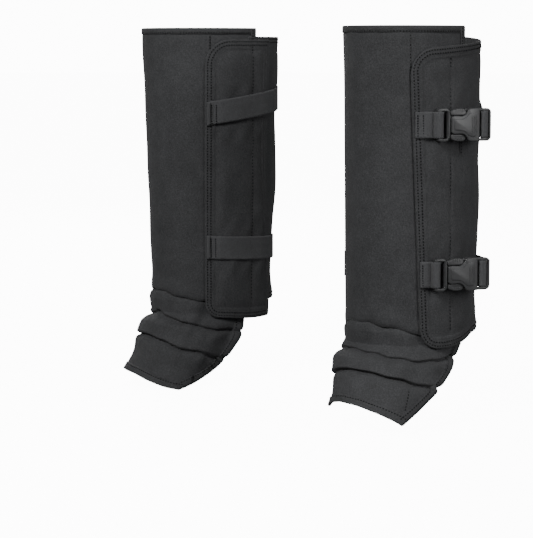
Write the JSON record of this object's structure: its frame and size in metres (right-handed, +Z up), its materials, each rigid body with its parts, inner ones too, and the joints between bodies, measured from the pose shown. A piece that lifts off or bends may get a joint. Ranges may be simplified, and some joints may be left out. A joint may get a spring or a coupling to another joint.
{
  "type": "hiking gaiters",
  "caption": "Pair of dark woven snake-guard gaiters: stiffened shin shields with wrap-round wings, webbing straps with side-release buckles, and spats over the boots.",
  "frame": {"origin": "on the ground line midway between the two legs, at the level of the spats' lowest corners", "axes": "+Z up along the wearer's legs, toes point towards -Y, the wearer's left is +X"},
  "size_m": [0.4928, 0.1916, 0.389],
  "materials": {
    "shell_fabric": "matte oxford weave",
    "lining_fabric": "smooth coated lining",
    "stiffener": "matte sheet",
    "edge_tape": "ribbed grosgrain",
    "webbing": "herringbone webbing",
    "buckle_plastic": "satin moulded acetal"
  },
  "bodies": {
    "left_gaiter": {"left_shield_outer": "shell_fabric", "left_shield_lining": "lining_fabric", "left_shin_insert": "stiffener", "left_top_hem_tape": "edge_tape", "left_lateral_wing": "shell_fabric", "left_lateral_wing_insert": "stiffener", "left_lateral_wing_binding": "edge_tape", "left_medial_wing": "shell_fabric", "left_medial_wing_insert": "stiffener", "left_medial_wing_binding": "edge_tape", "left_ankle_folds": "shell_fabric", "left_upper_anchor_strap": "webbing", "left_lower_anchor_strap": "webbing", "left_upper_long_strap": "webbing", "left_lower_long_strap": "webbing", "left_upper_tongue": "buckle_plastic", "left_lower_tongue": "buckle_plastic"},
    "left_spat_flap": {"left_spat": "shell_fabric", "left_spat_hem": "shell_fabric", "left_spat_tape_lateral": "edge_tape", "left_spat_tape_medial": "edge_tape"},
    "left_upper_release": {"left_upper_socket": "buckle_plastic", "left_upper_strap_end": "webbing"},
    "left_upper_high_prong": {"left_upper_prong_high": "buckle_plastic"},
    "left_upper_low_prong": {"left_upper_prong_low": "buckle_plastic"},
    "left_lower_release": {"left_lower_socket": "buckle_plastic", "left_lower_strap_end": "webbing"},
    "left_lower_high_prong": {"left_lower_prong_high": "buckle_plastic"},
    "left_lower_low_prong": {"left_lower_prong_low": "buckle_plastic"},
    "right_gaiter": {"right_shield_outer": "shell_fabric", "right_shield_lining": "lining_fabric", "right_shin_insert": "stiffener", "right_top_hem_tape": "edge_tape", "right_lateral_wing": "shell_fabric", "right_lateral_wing_insert": "stiffener", "right_lateral_wing_binding": "edge_tape", "right_medial_wing": "shell_fabric", "right_medial_wing_insert": "stiffener", "right_medial_wing_binding": "edge_tape", "right_ankle_folds": "shell_fabric", "right_upper_anchor_strap": "webbing", "right_lower_anchor_strap": "webbing", "right_upper_long_strap": "webbing", "right_lower_long_strap": "webbing", "right_upper_tongue": "buckle_plastic", "right_lower_tongue": "buckle_plastic"},
    "right_spat_flap": {"right_spat": "shell_fabric", "right_spat_hem": "shell_fabric", "right_spat_tape_lateral": "edge_tape", "right_spat_tape_medial": "edge_tape"},
    "right_upper_release": {"right_upper_socket": "buckle_plastic", "right_upper_strap_end": "webbing"},
    "right_upper_high_prong": {"right_upper_prong_high": "buckle_plastic"},
    "right_upper_low_prong": {"right_upper_prong_low": "buckle_plastic"},
    "right_lower_release": {"right_lower_socket": "buckle_plastic", "right_lower_strap_end": "webbing"},
    "right_lower_high_prong": {"right_lower_prong_high": "buckle_plastic"},
    "right_lower_low_prong": {"right_lower_prong_low": "buckle_plastic"}
  },
  "joints": [
    {"name": "stance", "type": "slide", "parent": "right_gaiter", "child": "left_gaiter", "axis": [1, 0, 0], "range_m": [0, 0.15]},
    {"name": "left_spat_lift", "type": "hinge", "parent": "left_gaiter", "child": "left_spat_flap", "pos_m": [0.17387, -0.08715, 0.056], "axis": [-0.9848, -0.1736, 0], "range_deg": [0, 25]},
    {"name": "left_upper_unclip", "type": "slide", "parent": "left_gaiter", "child": "left_upper_release", "axis": [0.2849, 0.9586, 0], "range_m": [0, 0.026]},
    {"name": "left_upper_high_squeeze", "type": "hinge", "parent": "left_gaiter", "child": "left_upper_high_prong", "pos_m": [0.22843, -0.01775, 0.306], "axis": [0.9586, -0.2849, 0], "range_deg": [-7, 0], "stiffness_Nm_per_rad": 0.1},
    {"name": "left_upper_low_squeeze", "type": "hinge", "parent": "left_gaiter", "child": "left_upper_low_prong", "pos_m": [0.22843, -0.01775, 0.284], "axis": [0.9586, -0.2849, 0], "range_deg": [0, 7], "stiffness_Nm_per_rad": 0.1},
    {"name": "left_lower_unclip", "type": "slide", "parent": "left_gaiter", "child": "left_lower_release", "axis": [0.364, 0.9314, 0], "range_m": [0, 0.026]},
    {"name": "left_lower_high_squeeze", "type": "hinge", "parent": "left_gaiter", "child": "left_lower_high_prong", "pos_m": [0.22762, -0.0188, 0.161], "axis": [0.9314, -0.364, 0], "range_deg": [-7, 0], "stiffness_Nm_per_rad": 0.1},
    {"name": "left_lower_low_squeeze", "type": "hinge", "parent": "left_gaiter", "child": "left_lower_low_prong", "pos_m": [0.22762, -0.0188, 0.139], "axis": [0.9314, -0.364, 0], "range_deg": [0, 7], "stiffness_Nm_per_rad": 0.1},
    {"name": "right_spat_lift", "type": "hinge", "parent": "right_gaiter", "child": "right_spat_flap", "pos_m": [-0.17387, -0.08715, 0.056], "axis": [-0.9848, 0.1736, 0], "range_deg": [0, 25]},
    {"name": "right_upper_unclip", "type": "slide", "parent": "right_gaiter", "child": "right_upper_release", "axis": [-0.2849, 0.9586, 0], "range_m": [0, 0.026]},
    {"name": "right_upper_high_squeeze", "type": "hinge", "parent": "right_gaiter", "child": "right_upper_high_prong", "pos_m": [-0.22843, -0.01775, 0.306], "axis": [-0.9586, -0.2849, 0], "range_deg": [0, 7], "stiffness_Nm_per_rad": 0.1},
    {"name": "right_upper_low_squeeze", "type": "hinge", "parent": "right_gaiter", "child": "right_upper_low_prong", "pos_m": [-0.22843, -0.01775, 0.284], "axis": [-0.9586, -0.2849, 0], "range_deg": [-7, 0], "stiffness_Nm_per_rad": 0.1},
    {"name": "right_lower_unclip", "type": "slide", "parent": "right_gaiter", "child": "right_lower_release", "axis": [-0.364, 0.9314, 0], "range_m": [0, 0.026]},
    {"name": "right_lower_high_squeeze", "type": "hinge", "parent": "right_gaiter", "child": "right_lower_high_prong", "pos_m": [-0.22762, -0.0188, 0.161], "axis": [-0.9314, -0.364, 0], "range_deg": [0, 7], "stiffness_Nm_per_rad": 0.1},
    {"name": "right_lower_low_squeeze", "type": "hinge", "parent": "right_gaiter", "child": "right_lower_low_prong", "pos_m": [-0.22762, -0.0188, 0.139], "axis": [-0.9314, -0.364, 0], "range_deg": [-7, 0], "stiffness_Nm_per_rad": 0.1}
  ],
  "couplings": [
    {"joint": "left_upper_low_squeeze", "follows": "left_upper_high_squeeze", "ratio": -1},
    {"joint": "left_lower_low_squeeze", "follows": "left_lower_high_squeeze", "ratio": -1},
    {"joint": "right_upper_low_squeeze", "follows": "right_upper_high_squeeze", "ratio": -1},
    {"joint": "right_lower_low_squeeze", "follows": "right_lower_high_squeeze", "ratio": -1}
  ]
}
